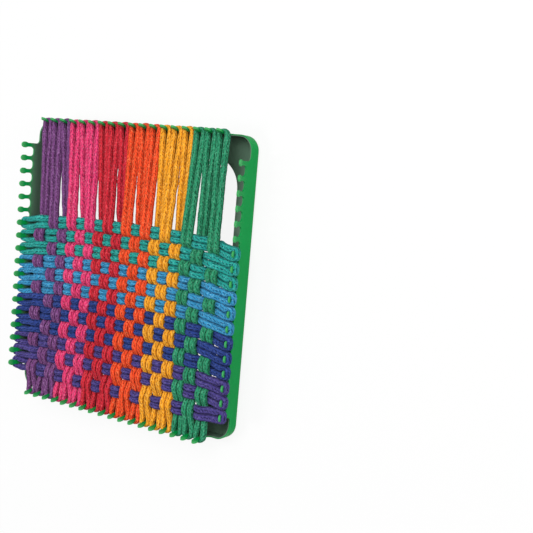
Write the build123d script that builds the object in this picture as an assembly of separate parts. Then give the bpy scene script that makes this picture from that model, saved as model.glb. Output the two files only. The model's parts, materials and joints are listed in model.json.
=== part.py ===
from build123d import *
import math
import os

os.makedirs("parts", exist_ok=True)

# A square loom for weaving potholders: one stamped steel frame with a row of
# round-headed pegs along each side, and closed cotton loops stretched across
# it. The frame is one sheet, written as its four sides, which meet at the
# corners' mitre lines. The upright loops fill every peg of the far and near sides. The cross
# loops are woven over and under them on the lower pegs of the other two sides.
# The frame lies on its flat back at z = 0 with the pegs pointing up. x runs
# along the cross loops, y along the upright loops towards the unwoven end.
# All lengths are in mm, all angles in degrees.

# Pegs and the sheet they are cut from
pitch = 9.525
pegs_per_side = 18
sheet = 1.2
neck_width = 2.8
head_radius = 2.15
throat_radius = 2.5
root_radius = 2.4
foot_radius = 2.6
root_height = 14.3
peg_length = 9.4
tip_height = root_height + peg_length

# Walls, corners and the flat ring they rise from. The walls stand one margin
# beyond the outermost pegs.
corner_margin = 17.5375
wall_half = (pegs_per_side - 1) / 2 * pitch + corner_margin
bend_radius = 3.0
wall_lean = 2.5
flare_below_root = 2.3
flare_start = root_height - flare_below_root
tip_lean = 22.0
flare_margin = 3.0
corner_radius = 10.0
corner_height = 9.4
ring_width = 15.5
window_radius = 20.0
cut_depth = 12.0
cut_beyond = 14.0

# Loops: each is one closed round cord in two strands. Two strands of
# neighbouring loops share a notch, and the pairs draw together in the cloth.
notch_clearance = 0.3625
strand = (pitch - neck_width) / 2 - notch_clearance
strand_gap = 0.12
pair_gap = 0.14
pair_half = (strand + pair_gap) / 2
peg_gap = 0.15
peg_half = (neck_width + strand) / 2 + peg_gap
loop_rise = 2.7
loop_height = root_height + loop_rise
wrap_margin = 0.2
wrap_radius = strand / 2 + wrap_margin
seat_gap = 0.05
straight_inset = 4.0
straight_half = wall_half - straight_inset
spread_radius = 6.0
first_woven_peg = 6

# How the cloth pulls the loops from their straight lines: the cross loops bow
# towards the unwoven end, the upright loops draw in, the outermost two stay out
bow = 6.0
bow_skew_share = 0.15
bow_power = 3
draw_in = 3.9
draw_shift = 0.6
edge_out = 0.5
bow_shares = [1, 1, 1, 1, 1, 1, 1, 1, 0.75, 0.6, 0.45, -0.3]
draw_shares = [1, 1, 1, 1, 1, 1, 0.9, 0.8, 0.65, 0.5, 0.35, 0.2]

peg_places = [(n - (pegs_per_side - 1) / 2) * pitch for n in range(pegs_per_side)]


def polar(centre, radius, angle):
    """Point at an angle on a circle around a centre."""
    turn = math.radians(angle)
    return (centre[0] + radius * math.cos(turn), centre[1] + radius * math.sin(turn))


def arc(centre, radius, start, end):
    """Arc around a centre from one angle to another."""
    middle = polar(centre, radius, (start + end) / 2)
    return ThreePointArc(polar(centre, radius, start), middle, polar(centre, radius, end))


def flat_face(edges, plane):
    """Closed face from edges drawn in a plane's own two axes."""
    return plane * make_face(edges)


# Section of the wall: quarter bend, leaning wall, then the outward flare of the pegs
bend_centre = (wall_half - bend_radius, bend_radius)
lean_start = polar(bend_centre, bend_radius, -wall_lean)
rise = flare_start - lean_start[1]
lean_end = (lean_start[0] + rise * math.tan(math.radians(wall_lean)), flare_start)
lean_sine = math.sin(math.radians(wall_lean))
flare_radius = (tip_height - flare_start) / (math.sin(math.radians(tip_lean)) - lean_sine)
flare_centre = polar(lean_end, flare_radius, -wall_lean)
flare_top_sine = (tip_height + flare_margin - flare_centre[1]) / flare_radius
flare_top_lean = math.degrees(math.asin(flare_top_sine))


def section_face(plane):
    """Wall section, outer face first and back along the inner face."""
    inner_bend = bend_radius - sheet
    inner_flare = flare_radius + sheet
    outer_top = polar(flare_centre, flare_radius, 180 - flare_top_lean)
    inner_top = polar(flare_centre, inner_flare, 180 - flare_top_lean)
    inner_start = polar(bend_centre, inner_bend, -wall_lean)
    inner_end = polar(flare_centre, inner_flare, 180 - wall_lean)
    edges = [
        arc(bend_centre, bend_radius, -90, -wall_lean),
        Line(lean_start, lean_end),
        arc(flare_centre, flare_radius, 180 - wall_lean, 180 - flare_top_lean),
        Line(outer_top, inner_top),
        arc(flare_centre, inner_flare, 180 - flare_top_lean, 180 - wall_lean),
        Line(inner_end, inner_start),
        arc(bend_centre, inner_bend, -wall_lean, -90),
        Line((bend_centre[0], sheet), (bend_centre[0], 0)),
    ]
    return flat_face(edges, plane)


def wall_ring():
    """Four straight walls and four round corners, pegs not yet cut out."""
    corner = wall_half - corner_radius
    straight = extrude(section_face(Plane.XZ), amount=corner, both=True)
    turn_plane = Plane(origin=(0, corner, 0), x_dir=(1, 0, 0), z_dir=(0, -1, 0))
    turn_axis = Axis((corner, corner, 0), (0, 0, 1))
    bend = revolve(section_face(turn_plane), axis=turn_axis, revolution_arc=90)
    side = straight + bend
    ring = side
    for quarter in range(1, 4):
        ring = ring + Rot(0, 0, 90 * quarter) * side
    return ring


def comb_edges():
    """Lower outline of what is cut away along one side, peg after peg."""
    neck_half = neck_width / 2
    head_centre = tip_height - head_radius
    reach = neck_half + throat_radius
    drop = math.sqrt((head_radius + throat_radius) ** 2 - reach**2)
    throat = head_centre - drop
    turn = math.degrees(math.atan2(drop, reach))
    edges = []
    for n, place in enumerate(peg_places):
        left = place - neck_half
        right = place + neck_half
        low_left = root_height + root_radius
        low_right = low_left
        if n == 0:
            low_left = corner_height + foot_radius
            edges.append(arc((left - foot_radius, low_left), foot_radius, -90, 0))
        edges.append(Line((left, low_left), (left, throat)))
        edges.append(arc((left - throat_radius, throat), throat_radius, 0, turn))
        edges.append(arc((place, head_centre), head_radius, 180 + turn, -turn))
        edges.append(arc((right + throat_radius, throat), throat_radius, 180 - turn, 180))
        if n < pegs_per_side - 1:
            edges.append(Line((right, throat), (right, low_right)))
            notch_left = right + root_radius
            notch_right = place + pitch - neck_half - root_radius
            edges.append(arc((notch_left, low_right), root_radius, 180, 270))
            edges.append(Line((notch_left, root_height), (notch_right, root_height)))
            edges.append(arc((notch_right, low_right), root_radius, -90, 0))
        else:
            low_right = corner_height + foot_radius
            edges.append(Line((right, throat), (right, low_right)))
            edges.append(arc((right + foot_radius, low_right), foot_radius, 180, 270))
    return edges


def notch_cutter():
    """Everything above the corners and between the pegs of the +x side."""
    end_reach = wall_half + cut_beyond
    top = tip_height + cut_beyond
    foot = peg_places[-1] + neck_width / 2 + foot_radius
    edges = comb_edges()
    edges.append(Line((foot, corner_height), (end_reach, corner_height)))
    edges.append(Line((end_reach, corner_height), (end_reach, top)))
    edges.append(Line((end_reach, top), (-end_reach, top)))
    edges.append(Line((-end_reach, top), (-end_reach, corner_height)))
    edges.append(Line((-end_reach, corner_height), (-foot, corner_height)))
    cut_plane = Plane(origin=(wall_half - cut_depth, 0, 0), x_dir=(0, 1, 0), z_dir=(1, 0, 0))
    return extrude(flat_face(edges, cut_plane), amount=cut_depth + cut_beyond)


def frame():
    """The whole stamped frame: flat ring, leaning walls, flared pegs, low corners."""
    flat_half = wall_half - bend_radius
    window_half = wall_half - ring_width
    plate = RectangleRounded(2 * flat_half, 2 * flat_half, corner_radius - bend_radius)
    window = RectangleRounded(2 * window_half, 2 * window_half, window_radius)
    body = extrude(plate - window, amount=sheet) + wall_ring()
    cutter = notch_cutter()
    for quarter in range(4):
        body = body - Rot(0, 0, 90 * quarter) * cutter
    return body


def side_sector():
    """Block that holds the +x side of the frame, out to both mitre lines."""
    end_reach = wall_half + cut_beyond
    edges = [
        Line((0, 0), (end_reach, -end_reach)),
        Line((end_reach, -end_reach), (end_reach, end_reach)),
        Line((end_reach, end_reach), (0, 0)),
    ]
    return extrude(flat_face(edges, Plane.XY), amount=tip_height + cut_beyond)


# Loop ends rest on the pegs' outer faces, one radius and a gap away
cross_step = strand + strand_gap
seat_radius = flare_radius - strand / 2 - seat_gap
seat_rise = loop_height - flare_centre[1]
wrap_reach = flare_centre[0] - math.sqrt(seat_radius**2 - seat_rise**2)


def crossing(upright, row):
    """Centre of the crossing of an upright loop and a woven row, both counted from 0."""
    place = peg_places[upright]
    share = place / wall_half
    inner = peg_places[-2]
    if abs(place) > inner:
        shift = math.copysign(edge_out, place)
    else:
        shift = draw_shift - draw_in * math.sin(math.pi / 2 * place / inner)
    rise = bow * (1 - abs(share) ** bow_power) * (1 + bow_skew_share * share)
    x = place + shift * draw_shares[row]
    y = -peg_places[first_woven_peg + row] + rise * bow_shares[row]
    return (x, y)


def heading(before, after):
    """Unit direction from one plan point to another."""
    length = math.dist(before, after)
    return ((after[0] - before[0]) / length, (after[1] - before[1]) / length)


def dive_run(spacing, reach, next_reach):
    """Level strand from a crossing's centre to the dive towards the next crossing."""
    between = spacing - reach - next_reach
    dive = math.asin(2 * cross_step / math.hypot(between, cross_step))
    dive = dive - math.atan2(cross_step, between)
    return reach + cross_step * math.tan(dive / 2)


def strand_route(peg, centres, reaches, over, side):
    """Points and radii of one strand, along +v to -v past (across, along) centres."""
    out = peg + side * peg_half
    points = [(peg, wrap_reach, loop_height), (out, wrap_reach, loop_height)]
    points.append((out, straight_half, loop_height))
    radii = [0, wrap_radius, spread_radius]
    ends = [(peg, straight_half), *centres, (peg, -straight_half)]
    last = len(centres) - 1
    for n, (across, along) in enumerate(centres):
        beside = [n - 1 if n else 1, n + 1 if n < last else last - 1]
        forward = heading(ends[n], ends[n + 2])
        level = loop_height + (cross_step / 2 if over else -cross_step / 2)
        base = (across - forward[1] * side * pair_half, along + forward[0] * side * pair_half)
        runs = []
        for m in beside:
            runs.append(dive_run(math.dist(centres[m], centres[n]), reaches[n], reaches[m]))
        points.append((base[0] - forward[0] * runs[0], base[1] - forward[1] * runs[0], level))
        points.append((base[0] + forward[0] * runs[1], base[1] + forward[1] * runs[1], level))
        radii.extend([cross_step, cross_step])
        over = not over
    points.append((out, -straight_half, loop_height))
    points.append((out, -wrap_reach, loop_height))
    points.append((peg, -wrap_reach, loop_height))
    radii.extend([spread_radius, wrap_radius, 0])
    return points, radii


def rounded_route(points, radii):
    """Straight runs between points, each inner point rounded with its radius."""
    edges = []
    start = Vector(*points[0])
    for n in range(1, len(points) - 1):
        corner = Vector(*points[n])
        back = (Vector(*points[n - 1]) - corner).normalized()
        ahead = (Vector(*points[n + 1]) - corner).normalized()
        half = math.acos(max(-1, min(1, back.dot(ahead)))) / 2
        tangent = radii[n] / math.tan(half)
        first = corner + back * tangent
        last = corner + ahead * tangent
        depth = radii[n] / math.sin(half) - radii[n]
        middle = corner + (back + ahead).normalized() * depth
        edges.append(Line(start, first))
        edges.append(ThreePointArc(first, middle, last))
        start = last
    edges.append(Line(start, Vector(*points[-1])))
    return edges


def loop(peg, centres, reaches, over, upright):
    """One closed loop over two facing pegs, from its two strands."""
    strands = []
    for side in (1, -1):
        points, radii = strand_route(peg, centres, reaches, over, side)
        if not upright:
            points = [(v, u, z) for u, v, z in points]
        edges = rounded_route(points, radii)
        cut = Vector(*points[1]) - Vector(*points[0])
        ring = Plane(origin=points[0], z_dir=cut) * Circle(strand / 2)
        strands.append(sweep(ring, path=Wire(edges)))
    return strands[0] + strands[1]


def save(shape, name):
    """Write one named part."""
    solid = shape.solid()
    solid.label = name
    export_step(solid, os.path.join("parts", name + ".step"))


whole_frame = frame()
for quarter, name in enumerate(["right", "far", "left", "near"]):
    save(whole_frame & (Rot(0, 0, 90 * quarter) * side_sector()), "frame_" + name)

# All crossings, and how far along a strand the pair that it crosses reaches.
# A pair crossed at a slant reaches further.
rows = range(len(bow_shares))
uprights = range(pegs_per_side)
row_places = [-place for place in peg_places[first_woven_peg:]]
places = [[crossing(n, row) for row in rows] for n in uprights]
reaches = [[pair_half for row in rows] for n in uprights]
for n in uprights:
    for row in rows:
        down = [(peg_places[n], straight_half), *places[n], (peg_places[n], -straight_half)]
        across = [(-straight_half, row_places[row])]
        across += [places[m][row] for m in uprights]
        across.append((straight_half, row_places[row]))
        upright_way = heading(down[row], down[row + 2])
        cross_way = heading(across[n], across[n + 2])
        slant = abs(upright_way[0] * cross_way[0] + upright_way[1] * cross_way[1])
        reaches[n][row] = pair_half * (1 + slant) / math.sqrt(1 - slant**2)

# Rows count from the unwoven end. In the first woven row the second upright
# loop lies on top, in the next row the first one does, and so on.
for n in uprights:
    shape = loop(peg_places[n], places[n], reaches[n], n % 2 == 1, True)
    save(shape, f"warp_loop_{n + 1:02d}")
for row in rows:
    order = list(reversed(uprights))
    route = [(places[n][row][1], places[n][row][0]) for n in order]
    spans = [reaches[n][row] for n in order]
    shape = loop(row_places[row], route, spans, row % 2 == 1, False)
    save(shape, f"weft_loop_{row + 1:02d}")
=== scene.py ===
# %% [markdown]
# A potholder loom, half woven.
#
# The real thing is a square frame stamped from one sheet of steel and powder
# coated green. Round-headed pegs stand up along its four sides. Thirty closed
# loops of cotton knit are stretched over it: eighteen upright ones from peg to
# peg, and twelve cross ones woven over and under them at one end.
#
# The frame comes from the CAD model and keeps its shape. The loops are plain
# round cords there, so each one is made again here as soft knitted tube.

# %% Load the frame of reference
import bpy
import json
import math
import numpy as np
from mathutils import Matrix

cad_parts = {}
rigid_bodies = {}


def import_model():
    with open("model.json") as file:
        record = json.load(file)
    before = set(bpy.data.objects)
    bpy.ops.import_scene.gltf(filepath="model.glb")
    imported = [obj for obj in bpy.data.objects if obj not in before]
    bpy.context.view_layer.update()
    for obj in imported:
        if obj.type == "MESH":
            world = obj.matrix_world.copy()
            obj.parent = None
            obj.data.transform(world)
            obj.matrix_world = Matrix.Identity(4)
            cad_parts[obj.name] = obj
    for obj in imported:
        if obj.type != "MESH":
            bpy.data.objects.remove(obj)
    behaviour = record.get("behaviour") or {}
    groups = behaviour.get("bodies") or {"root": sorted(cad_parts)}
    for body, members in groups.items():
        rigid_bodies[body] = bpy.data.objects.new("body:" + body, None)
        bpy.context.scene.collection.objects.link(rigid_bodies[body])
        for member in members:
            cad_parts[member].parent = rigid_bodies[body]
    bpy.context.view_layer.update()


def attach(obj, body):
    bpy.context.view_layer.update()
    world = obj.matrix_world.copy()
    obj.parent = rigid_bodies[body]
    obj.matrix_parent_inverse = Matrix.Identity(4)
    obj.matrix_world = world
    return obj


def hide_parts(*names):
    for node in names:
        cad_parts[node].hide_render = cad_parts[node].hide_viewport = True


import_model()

# %% [markdown]
# ## Sizes
#
# Pegs stand three eighths of an inch apart, which is the usual spacing of a
# loom of this size. All lengths below are in millimetres, and one helper turns
# them into Blender's metres, so that the numbers can be checked with a ruler.

# %% Sizes of the loom
PITCH = 9.525
PEGS = 18
WALL_HALF = 98.5
# the first peg that carries a cross loop, counted from 0 at the unwoven end
FIRST_WOVEN_PEG = 6
# the height of a loop's centre line, and how much higher it lies where it goes
# over another loop than where it goes under one
LOOP_HEIGHT = 17.0
STEP = 4.1
# where a strand comes free of the wall, from the loom's middle
WALL_INSIDE = 94.0

def mm(value):
    """Millimetres as metres."""
    return value * 0.001

peg_places = [(n - (PEGS - 1) / 2) * PITCH for n in range(PEGS)]
print("outer pegs at", peg_places[0], peg_places[-1], "mm")

# %% [markdown]
# ## Where the loops cross
#
# Weaving pulls the loops from their straight lines. The cross loops bow
# towards the unwoven end, because their two ends are held by the pegs while a
# finger pushes their middle up. The upright loops are drawn in towards the
# middle of the cloth, except the outermost two, which the pegs keep out. Near
# the pegs both pulls fade, so each row has its own share of them.

# %% Crossing places
BOW = 6.0
BOW_SKEW = 0.15
BOW_POWER = 3
DRAW_IN = 3.9
DRAW_SHIFT = 0.6
EDGE_OUT = 0.5
BOW_SHARES = [1, 1, 1, 1, 1, 1, 1, 1, 0.75, 0.6, 0.45, -0.3]
DRAW_SHARES = [1, 1, 1, 1, 1, 1, 0.9, 0.8, 0.65, 0.5, 0.35, 0.2]
ROWS = len(BOW_SHARES)

def crossing(upright, row):
    """Plan place, in mm, where an upright loop and a woven row cross."""
    place = peg_places[upright]
    share = place / WALL_HALF
    inner = peg_places[-2]
    if abs(place) > inner:
        shift = math.copysign(EDGE_OUT, place)
    else:
        shift = DRAW_SHIFT - DRAW_IN * math.sin(math.pi / 2 * place / inner)
    rise = BOW * (1 - abs(share) ** BOW_POWER) * (1 + BOW_SKEW * share)
    x = place + shift * DRAW_SHARES[row]
    y = -peg_places[FIRST_WOVEN_PEG + row] + rise * BOW_SHARES[row]
    return x, y

print("first crossing:", crossing(0, 0), "last:", crossing(PEGS - 1, ROWS - 1))

# %% [markdown]
# ## Materials
#
# A material starts from what the real thing is made of. One helper turns the
# sRGB hex value that a colour picker gives into the linear values that
# Blender wants, and another adds a node with its settings and links.

# %% Material helpers
def linear(code):
    """Linear colour from an sRGB hex value."""
    channels = [int(code[n:n + 2], 16) / 255 for n in (1, 3, 5)]
    return [c / 12.92 if c <= 0.04045 else ((c + 0.055) / 1.055) ** 2.4 for c in channels] + [1]

def add_node(tree, kind, settings=None, links=None):
    """Add a node, set its properties and sockets, and link its inputs."""
    node = tree.nodes.new(kind)
    for name, value in (settings or {}).items():
        if isinstance(name, str) and hasattr(node, name):
            setattr(node, name, value)
        else:
            node.inputs[name].default_value = value
    for name, socket in (links or {}).items():
        tree.links.new(socket, node.inputs[name])
    return node

def new_material(name):
    """An empty node material and its tree."""
    material = bpy.data.materials.new(name)
    material.use_nodes = True
    material.node_tree.nodes.clear()
    return material, material.node_tree

print("white in linear light:", linear("#ffffff"))

# %% [markdown]
# ## Powder-coated steel
#
# Powder coating is a plastic powder that is baked onto the steel until it
# flows. It gives an even colour, a soft gloss and a faint orange-peel surface
# with dimples about a millimetre and a half apart. Shade is painted into the
# coat's colour inside the tray, so it is darker and greyer down there, and comes
# up to full green on the pegs, whose tips get a painted highlight that makes
# them paler. Object coordinates tell how far inside and how high a point is.

# %% Powder coat
COAT_DIMPLE_MM = 1.5
COAT_DIMPLE_DEPTH_MM = 0.05
COAT_PATCH_MM = 30
COAT_ROUGHNESS = (0.34, 0.46)
# the frame's round corners, and the bend between its flat ring and its walls
CORNER_MM = 10
BEND_MM = 3
# painted shade inside the tray: full at the first distance from the bend's
# centre line, gone at the second; full up to the first height, gone at the second
TRAY_SHADE_EDGE_MM = (2.4, 2.85)
TRAY_SHADE_HEIGHT_MM = (11, 22)
TRAY_SHADE_SHARE = 0.85
# painted highlight on the peg tips: none at the first height, most at the second
TIP_HIGHLIGHT_HEIGHT_MM = (20.5, 23)
TIP_HIGHLIGHT_SHARE = 0.42

def powder_coat(name, deep, plain, inside, tip_highlight):
    """Green polyester powder coat on steel: even, softly glossy, faint orange peel."""
    material, tree = new_material(name)
    place = add_node(tree, "ShaderNodeTexCoord")
    dimples = add_node(tree, "ShaderNodeTexNoise",
                       {"Scale": 1 / mm(COAT_DIMPLE_MM), "Detail": 2.0},
                       {"Vector": place.outputs["Object"]})
    patches = add_node(tree, "ShaderNodeTexNoise",
                       {"Scale": 1 / mm(COAT_PATCH_MM), "Detail": 3.0},
                       {"Vector": place.outputs["Object"]})
    sprayed = add_node(tree, "ShaderNodeMix",
                       {"data_type": "RGBA", 6: linear(deep), 7: linear(plain)},
                       {0: patches.outputs["Fac"]})
    # how far out the point lies from the square on which the corners are centred
    size = add_node(tree, "ShaderNodeVectorMath", {"operation": "ABSOLUTE"},
                    {0: place.outputs["Object"]})
    parts = add_node(tree, "ShaderNodeSeparateXYZ", {}, {"Vector": size.outputs["Vector"]})
    square = (mm(WALL_HALF - CORNER_MM), mm(WALL_HALF - CORNER_MM), 0)
    beyond = add_node(tree, "ShaderNodeVectorMath", {"operation": "SUBTRACT", 1: square},
                      {0: size.outputs["Vector"]})
    clipped = add_node(tree, "ShaderNodeVectorMath", {"operation": "MAXIMUM", 1: (0, 0, 0)},
                       {0: beyond.outputs["Vector"]})
    flat = add_node(tree, "ShaderNodeVectorMath", {"operation": "MULTIPLY", 1: (1, 1, 0)},
                    {0: clipped.outputs["Vector"]})
    reach = add_node(tree, "ShaderNodeVectorMath", {"operation": "LENGTH"},
                     {0: flat.outputs["Vector"]})
    # and how far from the line on which the bend at the wall's foot is centred
    section = add_node(tree, "ShaderNodeCombineXYZ", {},
                       {"X": reach.outputs["Value"], "Y": parts.outputs["Z"]})
    from_bend = add_node(tree, "ShaderNodeVectorMath",
                         {"operation": "MULTIPLY_ADD", 1: (1, -1, 0),
                          2: (mm(BEND_MM - CORNER_MM), mm(BEND_MM), 0)},
                         {0: section.outputs["Vector"]})
    outward = add_node(tree, "ShaderNodeVectorMath", {"operation": "MAXIMUM", 1: (0, 0, 0)},
                       {0: from_bend.outputs["Vector"]})
    distance = add_node(tree, "ShaderNodeVectorMath", {"operation": "LENGTH"},
                        {0: outward.outputs["Vector"]})
    # painted shade: a darker, greyer colour on the tray's inside faces, fading out higher up
    within = add_node(tree, "ShaderNodeMapRange",
                      {1: mm(TRAY_SHADE_EDGE_MM[0]), 2: mm(TRAY_SHADE_EDGE_MM[1]), 3: 1.0, 4: 0.0},
                      {"Value": distance.outputs["Value"]})
    low = add_node(tree, "ShaderNodeMapRange",
                   {1: mm(TRAY_SHADE_HEIGHT_MM[0]), 2: mm(TRAY_SHADE_HEIGHT_MM[1]), 3: TRAY_SHADE_SHARE, 4: 0.0},
                   {"Value": parts.outputs["Z"]})
    tray_shade = add_node(tree, "ShaderNodeMath", {"operation": "MULTIPLY"},
                    {0: within.outputs["Result"], 1: low.outputs["Result"]})
    shaded = add_node(tree, "ShaderNodeMix", {"data_type": "RGBA", 7: linear(inside)},
                      {0: tray_shade.outputs["Value"], 6: sprayed.outputs[2]})
    # painted highlight: the pegs turn paler towards their tips
    highlight_share = add_node(tree, "ShaderNodeMapRange",
                    {1: mm(TIP_HIGHLIGHT_HEIGHT_MM[0]), 2: mm(TIP_HIGHLIGHT_HEIGHT_MM[1]), 4: TIP_HIGHLIGHT_SHARE},
                    {"Value": parts.outputs["Z"]})
    colour = add_node(tree, "ShaderNodeMix", {"data_type": "RGBA", 7: linear(tip_highlight)},
                      {0: highlight_share.outputs["Result"], 6: shaded.outputs[2]})
    peel = add_node(tree, "ShaderNodeBump",
                    {"Strength": 0.10, "Distance": mm(COAT_DIMPLE_DEPTH_MM)},
                    {"Height": dimples.outputs["Fac"]})
    gloss = add_node(tree, "ShaderNodeMapRange", {3: COAT_ROUGHNESS[0], 4: COAT_ROUGHNESS[1]},
                     {"Value": patches.outputs["Fac"]})
    shader = add_node(tree, "ShaderNodeBsdfPrincipled",
                      {"Metallic": 0.0, "IOR": 1.5, "Specular IOR Level": 0.08},
                      {"Base Color": colour.outputs[2], "Normal": peel.outputs["Normal"],
                       "Roughness": gloss.outputs["Result"]})
    add_node(tree, "ShaderNodeOutputMaterial", {}, {"Surface": shader.outputs["BSDF"]})
    return material

# painted shade inside the tray, and a painted highlight on the peg tips
green_coat = powder_coat("powder_coated_steel_green", deep="#008a3e", plain="#04984a",
                         inside="#66766c", tip_highlight="#62bc74")
FRAME_SIDES = ("frame_right", "frame_far", "frame_left", "frame_near")
for side in FRAME_SIDES:
    node = bpy.data.objects[side]
    for slot in node.material_slots:
        slot.material = green_coat
    print(side, "slots:", len(node.material_slots), "triangles:", len(node.data.polygons))

# %% [markdown]
# ## Cotton knit
#
# The loops are cut from knitted tube, like the top of a sock, and roll up into
# a soft cord. Its surface is rows of V-shaped stitches: a stitch is about
# 3 mm long, and six columns of them go round the cord. The slits between the
# two legs of a stitch are what the eye sees as knitting, and their dark is
# painted shade. Cotton is matt, and its loose fibres give it a pale bloom at
# grazing angles, which is the shader's sheen. The pattern follows the cord, so
# it reads the mesh's own UV map, where u runs along the loop and v round it.

# %% Cotton knit
# stitches along a loop, columns of them round it, and by how many columns the
# knit twists in all, which is even so that the legs meet where the loop closes
COURSES = 142
WALES = 6
TWISTS = 2
STITCH_SLANT = 0.5
STITCH_RELIEF_MM = 0.28
# along a stitch, 0 at its ends and 0.5 in its middle: its height at the ends and
# where it is full, where its slit opens, and how open the slit is at the ends
RIDGE_LOW = 0.60
RIDGE_FULL = 0.22
SLIT_OPENS = (0.06, 0.22)
SLIT_AT_ENDS = 0.30
# across a stitch, from the middle of the slit: its floor and its edge
SLIT_SIDES = (0.06, 0.27)
# grain of the fibres, the lint, the dye's patches and the uneven stitching; the
# last shifts the columns by half of one on average, and the start takes it back
FIBRE_MM = 0.35
FIBRE_SHARE = 0.45
LINT_MM = 1.1
LINT_SHARE = 0.75
SHADE_PATCH_MM = 6
SHADES = (0.88, 1.12)
UNEVEN_MM = 3.2
WALE_START = -0.5
# painted light on the cord's top and underside, and painted shade on its flanks
PAINTED_TOP_LIGHT = 1.04
PAINTED_FLANK_SHADE = 0.80

def cotton_knit(name, slit_shade, plain, bloom):
    """Dyed cotton jersey: matt, V stitches with painted shade in their slits and on the flanks,
    pale loose fibres.
    """
    material, tree = new_material(name)
    place = add_node(tree, "ShaderNodeTexCoord")
    uneven = add_node(tree, "ShaderNodeTexNoise", {"Scale": 1 / mm(UNEVEN_MM), "Detail": 1.0},
                      {"Vector": place.outputs["Object"]})
    shift = add_node(tree, "ShaderNodeSeparateColor", {}, {"Color": uneven.outputs["Color"]})
    uv = add_node(tree, "ShaderNodeUVMap", {"uv_map": "UVMap"})
    parts = add_node(tree, "ShaderNodeSeparateXYZ", {}, {"Vector": uv.outputs["UV"]})
    turned = add_node(tree, "ShaderNodeMath", {"operation": "MULTIPLY_ADD", 1: TWISTS},
                      {0: parts.outputs["X"], 2: shift.outputs["Red"]})
    started = add_node(tree, "ShaderNodeMath", {"operation": "ADD", 1: WALE_START},
                       {0: turned.outputs["Value"]})
    wale = add_node(tree, "ShaderNodeMath", {"operation": "MULTIPLY_ADD", 1: WALES},
                    {0: parts.outputs["Y"], 2: started.outputs["Value"]})
    courses = add_node(tree, "ShaderNodeMath", {"operation": "MULTIPLY_ADD", 1: COURSES},
                       {0: parts.outputs["X"], 2: shift.outputs["Green"]})
    share = add_node(tree, "ShaderNodeMath", {"operation": "FRACT"},
                     {0: courses.outputs["Value"]})
    # legs lean one way in one column and the other way in the next, as a V
    leg = add_node(tree, "ShaderNodeMath", {"operation": "PINGPONG", 1: 1.0},
                   {0: wale.outputs["Value"]})
    leaning = add_node(tree, "ShaderNodeMath", {"operation": "MULTIPLY_ADD", 1: STITCH_SLANT},
                       {0: share.outputs["Value"], 2: leg.outputs["Value"]})
    middle = add_node(tree, "ShaderNodeMath", {"operation": "SUBTRACT", 1: 0.5 + STITCH_SLANT / 2},
                      {0: leaning.outputs["Value"]})
    across = add_node(tree, "ShaderNodeMath", {"operation": "ABSOLUTE"},
                      {0: middle.outputs["Value"]})
    # a stitch swells between its two ends, and a slit opens between its legs
    length_wave = add_node(tree, "ShaderNodeMath", {"operation": "PINGPONG", 1: 0.5},
                           {0: share.outputs["Value"]})
    ridge = add_node(tree, "ShaderNodeMapRange",
                     {"interpolation_type": "SMOOTHSTEP", 2: RIDGE_FULL, 3: RIDGE_LOW, 4: 1.0},
                     {"Value": length_wave.outputs["Value"]})
    open_part = add_node(tree, "ShaderNodeMapRange",
                         {"interpolation_type": "SMOOTHSTEP",
                          1: SLIT_OPENS[0], 2: SLIT_OPENS[1], 3: SLIT_AT_ENDS},
                         {"Value": length_wave.outputs["Value"]})
    between = add_node(tree, "ShaderNodeMapRange",
                       {"interpolation_type": "SMOOTHSTEP",
                        1: SLIT_SIDES[0], 2: SLIT_SIDES[1], 3: 1.0, 4: 0.0},
                       {"Value": across.outputs["Value"]})
    gap = add_node(tree, "ShaderNodeMath", {"operation": "MULTIPLY"},
                   {0: open_part.outputs["Result"], 1: between.outputs["Result"]})
    stitch = add_node(tree, "ShaderNodeMath", {"operation": "SUBTRACT", "use_clamp": True},
                      {0: ridge.outputs["Result"], 1: gap.outputs["Value"]})
    fibres = add_node(tree, "ShaderNodeTexNoise", {"Scale": 1 / mm(FIBRE_MM), "Detail": 3.0},
                      {"Vector": place.outputs["Object"]})
    lint = add_node(tree, "ShaderNodeTexNoise", {"Scale": 1 / mm(LINT_MM), "Detail": 2.0},
                    {"Vector": place.outputs["Object"]})
    patches = add_node(tree, "ShaderNodeTexNoise",
                       {"Scale": 1 / mm(SHADE_PATCH_MM), "Detail": 4.0},
                       {"Vector": place.outputs["Object"]})
    height = add_node(tree, "ShaderNodeMath", {"operation": "MULTIPLY_ADD", 1: FIBRE_SHARE},
                      {0: fibres.outputs["Fac"], 2: stitch.outputs["Value"]})
    # painted shade: the slits between the stitch legs are coloured darker than the dye
    dye_and_slit_shade = add_node(tree, "ShaderNodeValToRGB", {}, {"Fac": stitch.outputs["Value"]})
    ramp = dye_and_slit_shade.color_ramp
    ramp.elements[0].position = 0.0
    ramp.elements[0].color = linear(slit_shade)
    ramp.elements[1].position = 0.60
    ramp.elements[1].color = linear(plain)
    fleck = add_node(tree, "ShaderNodeMapRange", {1: 0.52, 2: 0.72, 3: 0.0, 4: LINT_SHARE},
                     {"Value": lint.outputs["Fac"]})
    flecked = add_node(tree, "ShaderNodeMix", {"data_type": "RGBA", 7: linear(bloom)},
                       {0: fleck.outputs["Result"], 6: dye_and_slit_shade.outputs["Color"]})
    shade = add_node(tree, "ShaderNodeMapRange", {1: 0.3, 2: 0.7, 3: SHADES[0], 4: SHADES[1]},
                     {"Value": patches.outputs["Fac"]})
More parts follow.
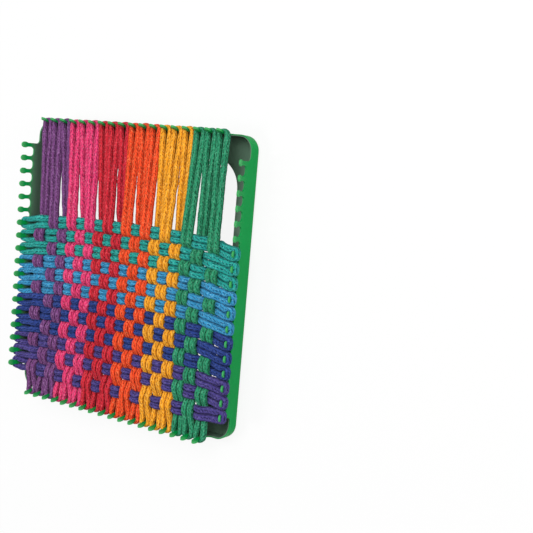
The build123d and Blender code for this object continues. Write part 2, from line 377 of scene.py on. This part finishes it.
    # painted shade on the cord's flanks, and painted light on its top and underside
    angle = add_node(tree, "ShaderNodeMath", {"operation": "MULTIPLY", 1: 2 * math.pi},
                     {0: parts.outputs["Y"]})
    flank = add_node(tree, "ShaderNodeMath", {"operation": "COSINE"}, {0: angle.outputs["Value"]})
    sideways = add_node(tree, "ShaderNodeMath", {"operation": "ABSOLUTE"},
                        {0: flank.outputs["Value"]})
    flank_shade = add_node(tree, "ShaderNodeMapRange",
                       {"interpolation_type": "SMOOTHSTEP",
                        1: 0.5, 2: 1.0, 3: PAINTED_TOP_LIGHT, 4: PAINTED_FLANK_SHADE},
                       {"Value": sideways.outputs["Value"]})
    level = add_node(tree, "ShaderNodeMath", {"operation": "MULTIPLY"},
                     {0: shade.outputs["Result"], 1: flank_shade.outputs["Result"]})
    colour = add_node(tree, "ShaderNodeVectorMath", {"operation": "SCALE"},
                      {0: flecked.outputs[2], "Scale": level.outputs["Value"]})
    bump = add_node(tree, "ShaderNodeBump", {"Strength": 0.9, "Distance": mm(STITCH_RELIEF_MM)},
                    {"Height": height.outputs["Value"]})
    shader = add_node(tree, "ShaderNodeBsdfPrincipled",
                      {"Roughness": 0.92, "IOR": 1.45, "Specular IOR Level": 0.25,
                       "Sheen Weight": 0.20, "Sheen Roughness": 0.5, "Sheen Tint": linear(bloom)},
                      {"Base Color": colour.outputs["Vector"], "Normal": bump.outputs["Normal"]})
    add_node(tree, "ShaderNodeOutputMaterial", {}, {"Surface": shader.outputs["BSDF"]})
    return material

# painted slit shade, plain and bloom colours of each dye
DYES = {
    "purple": ("#3a1f3e", "#74427a", "#a277a8"),
    "pink": ("#881440", "#e23a70", "#f47ea0"),
    "red": ("#740e18", "#ca2434", "#e85c66"),
    "orange": ("#962610", "#ee4a22", "#ff8a58"),
    "yellow": ("#a85c0e", "#f2a224", "#ffc860"),
    "green": ("#0f4a32", "#278a62", "#62b48e"),
    "teal": ("#0a3e46", "#1e988e", "#5cc4ba"),
    "sky_blue": ("#134872", "#328cba", "#74bce0"),
    "royal_blue": ("#0c183e", "#263c80", "#5468ac"),
    "violet": ("#1c183e", "#463c80", "#746aa6"),
}
knits = {dye: cotton_knit("cotton_knit_" + dye, *codes) for dye, codes in DYES.items()}
print("knit materials:", len(knits))

# %% [markdown]
# ## The route of a loop
#
# A loop is one closed ring that is pulled long over two facing pegs, so it has
# two strands and a bight at each end. I describe it by stations: places along
# the ring with the centre of the cord there and its half width, and how far it
# reaches up and down. Over a crossing the cord is plump and flattens only
# below, where it rests on the other pair. Between two crossings it is squeezed,
# which gives the cells of the cloth their barrel shape. A smooth curve through
# the stations then gives as many rings as the mesh needs.

# %% Stations of a loop
# each section: half width, reach above the centre, reach below it
WARP_OVER = (2.34, 2.10, 1.90)
WARP_UNDER = (2.05, 1.90, 2.00)
WARP_DIVE = (2.20, 1.75, 1.75)
WARP_FREE = (2.17, 1.95, 1.85)
WARP_BIGHT = (1.15, 2.30, 2.30)
WEFT_OVER = (1.98, 2.05, 1.90)
WEFT_END = (2.42, 2.25, 1.95)
WEFT_UNDER = (1.95, 1.90, 1.90)
WEFT_DIVE = (1.90, 1.60, 1.60)
WEFT_FREE = (2.34, 2.15, 1.95)
WEFT_BIGHT = (2.15, 2.50, 2.15)
IN_NOTCH = (1.66, 2.10, 2.10)

# how far a strand's centre lies from its pair's middle: in a notch, and then
# over a crossing, under one, between two, on its way to the peg, just inside
# the wall, and how much more the strands part at the low and at the high end
PEG_SPREAD = 3.05
WARP_SPREADS = (2.34, 2.12, 2.24, 2.25, 3.00, (0.0, 0.0))
WEFT_SPREADS = (1.98, 1.98, 1.92, 2.34, 2.55, (0.7, 0.0))
# centre of the bight, and where the strand leaves the notch on its way in
WARP_WRAP = (100.62, 95.0)
WEFT_WRAP = (100.85, 95.4)
# how much higher the bights ride at the low and at the high end
WARP_RIDES = (0.0, 0.0)
WEFT_RIDES = (0.0, 1.8)
WARP_SHAPE = ((WARP_OVER, WARP_UNDER, WARP_OVER, WARP_DIVE, WARP_FREE, WARP_BIGHT),
              WARP_SPREADS, WARP_WRAP, WARP_RIDES)
WEFT_SHAPE = ((WEFT_OVER, WEFT_UNDER, WEFT_END, WEFT_DIVE, WEFT_FREE, WEFT_BIGHT),
              WEFT_SPREADS, WEFT_WRAP, WEFT_RIDES)
# half the length of the level part of a crossing
LEVEL_MM = 1.5
# parted strands are narrower by this share of their parting
NARROWING = 0.45
# a free run longer than this has its two stations further apart
LONG_RUN_MM = 24

def strand_stations(peg, side, centres, over, shape):
    """Stations from the bight at the low end to the bight at the high end.

    A station is (across, along, height, half width, reach up, reach down).
    """
    sizes, spreads, (wrap, inside), rides = shape
    over_size, under_size, end_size, dive_size, free_size, bight_size = sizes
    spread_over, spread_under, spread_dive, spread_free, spread_inside, partings = spreads
    full = [(peg, -WALL_INSIDE)] + centres + [(peg, WALL_INSIDE)]
    signs = [(1 if over else -1) * (-1) ** n for n in range(len(centres))]
    # strands part less on their way over the first crossing, and hardly beside a corner
    slack = 0.2 if abs(peg) == max(peg_places) else 1
    parts = [part * slack * (1 if sign < 0 else 0.5)
             for part, sign in zip(partings, (signs[0], signs[-1]))]
    end_half = PEG_SPREAD - IN_NOTCH[0] + bight_size[0]

    def peg_end(part, ride, direction):
        """Stations round one peg, from the bight to just inside the wall."""
        narrow = (free_size[0] - NARROWING * part, *free_size[1:])
        # spread, distance from the loom's middle, share of the ride, and section
        places = [(0, wrap, 1, bight_size),
                  (0.62 * end_half, wrap - 0.35, 1, bight_size),
                  (PEG_SPREAD - 0.05, wrap - 2.0, 0.85, IN_NOTCH),
                  (PEG_SPREAD, 97.5, 0.6, IN_NOTCH),
                  (spread_inside + part, inside, 0.35, narrow)]
        return [(peg + side * spread, direction * reach, LOOP_HEIGHT + ride * share, *size)
                for spread, reach, share, size in places]

    def free_run(low, high, sign, part):
        """Two stations between a peg and the crossing nearest to it."""
        run = abs(high[1] - low[1])
        shares = (0.3, 0.72) if run > LONG_RUN_MM else (0.38, 0.75)
        narrow = (free_size[0] - NARROWING * part, *free_size[1:])
        found = []
        for share in shares:
            apart = spread_free + part + (spread_inside - spread_free) * (1 - share) ** 2
            across = low[0] + (high[0] - low[0]) * share + side * apart
            along = low[1] + (high[1] - low[1]) * share
            found.append((across, along, LOOP_HEIGHT + sign * STEP / 2 * share, *narrow))
        return found

    stations = peg_end(parts[0], rides[0], -1) + free_run(full[0], full[1], signs[0], parts[0])
    for n, (across, along) in enumerate(centres):
        # nearer the walls there is room for the cord to stay plumper
        room = min(1, abs(along) / peg_places[-1]) ** 2
        plump = tuple(small + (big - small) * room for small, big in zip(over_size, end_size))
        size = plump if signs[n] > 0 else under_size
        spread = side * (max(spread_over, plump[0]) if signs[n] > 0 else spread_under)
        before, after = full[n], full[n + 2]
        run = math.dist(before, after)
        slope = ((after[0] - before[0]) / run, (after[1] - before[1]) / run)
        base = (across + slope[1] * spread, along - slope[0] * spread)
        for ahead in (-LEVEL_MM, LEVEL_MM):
            stations.append((base[0] + ahead * slope[0], base[1] + ahead * slope[1],
                             LOOP_HEIGHT + signs[n] * STEP / 2, *size))
        if n < len(centres) - 1:
            run = math.dist((across, along), after)
            way = ((after[0] - across) / run, (after[1] - along) / run)
            width = dive_size[0] + (end_size[0] - dive_size[0]) * room
            spread = side * max(spread_dive, width)
            stations.append(((across + after[0]) / 2 + way[1] * spread,
                             (along + after[1]) / 2 - way[0] * spread, LOOP_HEIGHT,
                             width, *dive_size[1:]))
    stations += free_run(full[-1], full[-2], signs[-1], parts[1])[::-1]
    stations += peg_end(parts[1], rides[1], 1)[::-1]
    return stations

def ring_stations(peg, centres, over, shape, upright):
    """All stations of a closed loop, counterclockwise seen from above."""
    side = 1 if upright else -1
    going = strand_stations(peg, side, centres, over, shape)
    coming = strand_stations(peg, -side, centres, over, shape)
    stations = going + coming[::-1][1:-1]
    if not upright:
        stations = [(s[1], s[0], *s[2:]) for s in stations]
    return np.array(stations)

print("sections of the upright loops:", WARP_OVER, WARP_DIVE)

# %% [markdown]
# ## A smooth closed curve
#
# A Catmull-Rom spline passes through its points and needs no handles, so it
# suits stations that are measured places. I use the centripetal kind, which
# makes no loops where stations lie close together, and then space the rings
# evenly along it, so that all stitches come out the same length.

# %% Smooth curve through stations
SAMPLES_PER_SPAN = 24

def smooth_ring(stations, count):
    """Evenly spaced samples of a closed centripetal Catmull-Rom curve."""
    total = len(stations)
    samples = []
    for n in range(total):
        p = [stations[(n + k) % total] for k in (-1, 0, 1, 2)]
        t = [0.0]
        for k in range(3):
            t.append(t[-1] + max(np.linalg.norm(p[k + 1][:3] - p[k][:3]), 1e-6) ** 0.5)
        u = np.linspace(t[1], t[2], SAMPLES_PER_SPAN, endpoint=False)[:, None]
        a1 = (t[1] - u) / (t[1] - t[0]) * p[0] + (u - t[0]) / (t[1] - t[0]) * p[1]
        a2 = (t[2] - u) / (t[2] - t[1]) * p[1] + (u - t[1]) / (t[2] - t[1]) * p[2]
        a3 = (t[3] - u) / (t[3] - t[2]) * p[2] + (u - t[2]) / (t[3] - t[2]) * p[3]
        b1 = (t[2] - u) / (t[2] - t[0]) * a1 + (u - t[0]) / (t[2] - t[0]) * a2
        b2 = (t[3] - u) / (t[3] - t[1]) * a2 + (u - t[1]) / (t[3] - t[1]) * a3
        samples.append((t[2] - u) / (t[2] - t[1]) * b1 + (u - t[1]) / (t[2] - t[1]) * b2)
    fine = np.vstack(samples)
    closed = np.vstack([fine, fine[:1]])
    steps = np.linalg.norm(np.diff(closed[:, :3], axis=0), axis=1)
    place = np.concatenate([[0], np.cumsum(steps)])
    wanted = np.arange(count) / count * place[-1]
    columns = [np.interp(wanted, place, closed[:, k]) for k in range(closed.shape[1])]
    return np.stack(columns, axis=1), place[-1]

centres = [crossing(0, row) for row in reversed(range(ROWS))]
stations = ring_stations(peg_places[0], centres, True, WARP_SHAPE, upright=True)
ring, length = smooth_ring(stations, 400)
print("first upright loop:", round(length, 1), "mm round")

# %% [markdown]
# ## One knitted loop
#
# The real loop is a strip of knit whose edges roll up, so the mesh starts as a
# long flat grid, whose UV map already runs along and across it. Its vertices
# are rolled into a cord and laid along the route, and the meeting edges are
# merged. Spinning or sweeping could not do this, because the section changes
# all the way along. A few slow waves, different for each loop, take away the
# machine look.

# %% Knitted loop
# rings of points along a loop, and points in a ring
RINGS = 860
ROUND = 24
# how far the cord strays from its route, sideways and upwards, how unevenly
# plump it is, and how much the stitches stand out as a share of its thickness
WANDER_MM = 0.16
LIFT_MM = 0.6 * WANDER_MM
PLUMP_SHARE = 0.05
RELIEF_SHARE = 0.11
# points nearer than this are one, where the grid's edges meet
SAME_PLACE_M = 1e-7

def slow_waves(rng, count, cycles):
    """A gentle closed wave of about unit size."""
    t = np.arange(count) / count * 2 * math.pi
    wave = np.zeros(count)
    for k in cycles:
        wave += rng.normal(0, 0.5) * np.cos(k * t + rng.uniform(0, 2 * math.pi))
    return wave

def smoothstep(low, high, value):
    """0 below low, 1 above high, smooth between."""
    t = np.clip((value - low) / (high - low), 0, 1)
    return t * t * (3 - 2 * t)

def stitch_height(along, wale):
    """Relief of the knit, 0 to 1: the same stitches as in the material."""
    leg = 1 - np.abs(wale % 2 - 1)
    across = np.abs(leg + STITCH_SLANT * (along % 1 - 0.5) - 0.5)
    length_wave = 0.5 - np.abs(along % 1 - 0.5)
    ridge = RIDGE_LOW + (1 - RIDGE_LOW) * smoothstep(0, RIDGE_FULL, length_wave)
    opened = SLIT_AT_ENDS + (1 - SLIT_AT_ENDS) * smoothstep(*SLIT_OPENS, length_wave)
    gap = opened * (1 - smoothstep(*SLIT_SIDES, across))
    return np.clip(ridge - gap, 0, 1)

def knitted_loop(name, stations, dye, seed):
    """A soft closed cord of knit along its stations."""
    rng = np.random.default_rng(seed)
    ring, length = smooth_ring(stations, RINGS)
    centre = ring[:, :3].copy()
    tangent = np.roll(centre, -1, axis=0) - np.roll(centre, 1, axis=0)
    tangent /= np.linalg.norm(tangent, axis=1)[:, None]
    out = np.stack([tangent[:, 1], -tangent[:, 0], np.zeros(RINGS)], axis=1)
    out /= np.linalg.norm(out, axis=1)[:, None]
    up = np.cross(out, tangent)
    up *= np.sign(up[:, 2])[:, None]
    wander = WANDER_MM * slow_waves(rng, RINGS, (7, 11, 17, 26, 41))
    lift = LIFT_MM * slow_waves(rng, RINGS, (9, 13, 23, 37))
    plump = 1 + PLUMP_SHARE * slow_waves(rng, RINGS, (19, 31, 47, 71))
    centre += out * wander[:, None]
    centre[:, 2] += lift
    turn = np.arange(ROUND) / ROUND * 2 * math.pi
    wide = (ring[:, 3] * plump)[:, None] * np.cos(turn)
    reach = np.where(np.sin(turn) >= 0, ring[:, 4][:, None], ring[:, 5][:, None])
    high = reach * (2 - plump)[:, None] * np.sin(turn)
    along = np.arange(RINGS)[:, None] / RINGS
    wale = np.arange(ROUND) / ROUND * WALES + along * TWISTS
    relief = 1 + RELIEF_SHARE * (stitch_height(along * COURSES, wale) - 0.5)
    points = centre[:, None, :] + out[:, None, :] * (wide * relief)[:, :, None]
    points += up[:, None, :] * (high * relief)[:, :, None]

    bpy.ops.object.select_all(action="DESELECT")
    bpy.ops.mesh.primitive_grid_add(x_subdivisions=RINGS, y_subdivisions=ROUND, size=1)
    piece = bpy.context.active_object
    piece.name = name
    piece.data.name = name
    flat = np.empty(len(piece.data.vertices) * 3)
    piece.data.vertices.foreach_get("co", flat)
    flat = flat.reshape(-1, 3)
    i = np.rint((flat[:, 0] + 0.5) * RINGS).astype(int) % RINGS
    j = np.rint((flat[:, 1] + 0.5) * ROUND).astype(int) % ROUND
    piece.data.vertices.foreach_set("co", mm(points[i, j]).reshape(-1))
    piece.data.update()
    bpy.ops.object.mode_set(mode="EDIT")
    bpy.ops.mesh.select_all(action="SELECT")
    bpy.ops.mesh.remove_doubles(threshold=SAME_PLACE_M)
    bpy.ops.object.mode_set(mode="OBJECT")
    bpy.ops.object.shade_smooth()
    piece.data.materials.append(knits[dye])
    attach(piece, "root")
    return piece, length

print("faces in a loop:", RINGS * ROUND)

# %% [markdown]
# ## Eighteen upright loops
#
# They fill every peg of the near and far sides, three loops to a colour. In
# the first woven row the second loop lies on top, in the next row the first
# one does, and so on to the last row.

# %% Upright loops
WARP_DYES = ["purple", "pink", "red", "orange", "yellow", "green"]
SAME_DYE = 3
WARP_SEED = 100
rows = list(reversed(range(ROWS)))
for n in range(PEGS):
    centres = [crossing(n, row) for row in rows]
    over = (n + rows[0]) % 2 == 1
    stations = ring_stations(peg_places[n], centres, over, WARP_SHAPE, upright=True)
    name = f"knit_warp_{n + 1:02d}"
    piece, length = knitted_loop(name, stations, WARP_DYES[n // SAME_DYE], WARP_SEED + n)
    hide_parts(f"warp_loop_{n + 1:02d}")
    print(name, WARP_DYES[n // SAME_DYE], round(length, 1), "mm")

# %% [markdown]
# ## Twelve cross loops
#
# They hang on the lower pegs of the left and right sides, again three to a
# colour, and lie on top wherever the upright loops go under.

# %% Cross loops
WEFT_DYES = ["teal", "sky_blue", "royal_blue", "violet"]
WEFT_SEED = 200
for row in range(ROWS):
    crossings = [crossing(n, row) for n in range(PEGS)]
    centres = [(y, x) for x, y in crossings]
    over = row % 2 == 0
    peg = -peg_places[FIRST_WOVEN_PEG + row]
    stations = ring_stations(peg, centres, over, WEFT_SHAPE, upright=False)
    name = f"knit_weft_{row + 1:02d}"
    piece, length = knitted_loop(name, stations, WEFT_DYES[row // SAME_DYE], WEFT_SEED + row)
    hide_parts(f"weft_loop_{row + 1:02d}")
    print(name, WEFT_DYES[row // SAME_DYE], round(length, 1), "mm")

# %% [markdown]
# ## Floor and light
#
# The loom lies on a plain white floor. The floor gives camera rays mostly its
# own white, and keeps a share of the real light, so that the loom's soft
# shadow still shows. Three large soft lamps light the loom: the strongest from
# above the far end, one low on the right and one from the left. The pale world
# fills the rest.

# %% Floor
FLOOR_M = 6.0
FLOOR_BELOW_MM = 0.1
# how much of the floor's own white the camera sees
FLOOR_WHITE = 0.88

def studio_floor(name):
    """Matt white paper that stays white for the camera and keeps a soft shadow."""
    material, tree = new_material(name)
    path = add_node(tree, "ShaderNodeLightPath")
    seen = add_node(tree, "ShaderNodeMath", {"operation": "MAXIMUM"},
                    {0: path.outputs["Is Camera Ray"], 1: path.outputs["Is Glossy Ray"]})
    share = add_node(tree, "ShaderNodeMath", {"operation": "MULTIPLY", 1: FLOOR_WHITE},
                     {0: seen.outputs["Value"]})
    paper = add_node(tree, "ShaderNodeBsdfDiffuse", {"Color": linear("#f2f2f2")})
    white = add_node(tree, "ShaderNodeEmission", {"Color": linear("#ffffff"), "Strength": 1.0})
    both = add_node(tree, "ShaderNodeMixShader", {}, {0: share.outputs["Value"],
                    1: paper.outputs["BSDF"], 2: white.outputs["Emission"]})
    add_node(tree, "ShaderNodeOutputMaterial", {}, {"Surface": both.outputs["Shader"]})
    return material

bpy.ops.object.select_all(action="DESELECT")
bpy.ops.mesh.primitive_plane_add(size=FLOOR_M, location=(0, 0, -mm(FLOOR_BELOW_MM)))
floor = bpy.context.active_object
floor.name = "studio_floor"
floor.data.materials.append(studio_floor("white_paper_floor"))

# %% World and lamps
WORLD_FILL = 0.31

world = bpy.data.worlds.new("pale_studio")
bpy.context.scene.world = world
world.use_nodes = True
world.node_tree.nodes.clear()
path = add_node(world.node_tree, "ShaderNodeLightPath")
fill = add_node(world.node_tree, "ShaderNodeBackground",
                {"Color": linear("#ffffff"), "Strength": WORLD_FILL})
white = add_node(world.node_tree, "ShaderNodeBackground",
                 {"Color": linear("#ffffff"), "Strength": 1.0})
sky = add_node(world.node_tree, "ShaderNodeMixShader", {}, {0: path.outputs["Is Camera Ray"],
               1: fill.outputs["Background"], 2: white.outputs["Background"]})
add_node(world.node_tree, "ShaderNodeOutputWorld", {}, {"Surface": sky.outputs["Shader"]})

def soft_lamp(name, place, power, size):
    """A square area lamp aimed at the loom."""
    bpy.ops.object.select_all(action="DESELECT")
    bpy.ops.object.light_add(type="AREA", location=place)
    lamp = bpy.context.active_object
    lamp.name = name
    lamp.data.energy = power
    lamp.data.shape = "SQUARE"
    lamp.data.size = size
    tilt = math.acos(place[2] / math.hypot(*place))
    lamp.rotation_euler = (tilt, 0, math.atan2(place[1], place[0]) + math.pi / 2)

# place in metres, power in watts, side in metres
soft_lamp("right_lamp", (1.35, 0.22, 0.60), 6.0, 0.6)
soft_lamp("far_lamp", (0.35, 0.60, 1.15), 10.4, 0.9)
soft_lamp("left_lamp", (-0.85, -0.15, 1.15), 7.0, 0.5)

# %% [markdown]
# ## Camera
#
# The camera stands to the right of the loom and looks down on it, turned so
# that the woven end is at the bottom of the picture. Its three axes and its
# place, in metres, come from fitting it to the pegs, whose spacing is known.

# %% Camera
RIGHT = (0.80308066, 0.08432574, -0.5898734)
UP = (-0.1253111, 0.99169837, -0.02883536)
BACK = (0.58254492, 0.09707481, 0.80698073)
PLACE = (0.497284, 0.081378, 0.535583)
LENS_MM = 70.48

bpy.ops.object.camera_add()
camera = bpy.context.active_object
camera.name = "photo_camera"
rows = [[RIGHT[k], UP[k], BACK[k], PLACE[k]] for k in range(3)] + [[0, 0, 0, 1]]
camera.matrix_world = Matrix(rows)
camera.data.lens = LENS_MM
camera.data.clip_start = 0.01
camera.data.dof.use_dof = False
bpy.context.scene.camera = camera
bpy.context.scene.view_settings.view_transform = "Standard"
print("camera at", [round(v, 3) for v in camera.location])
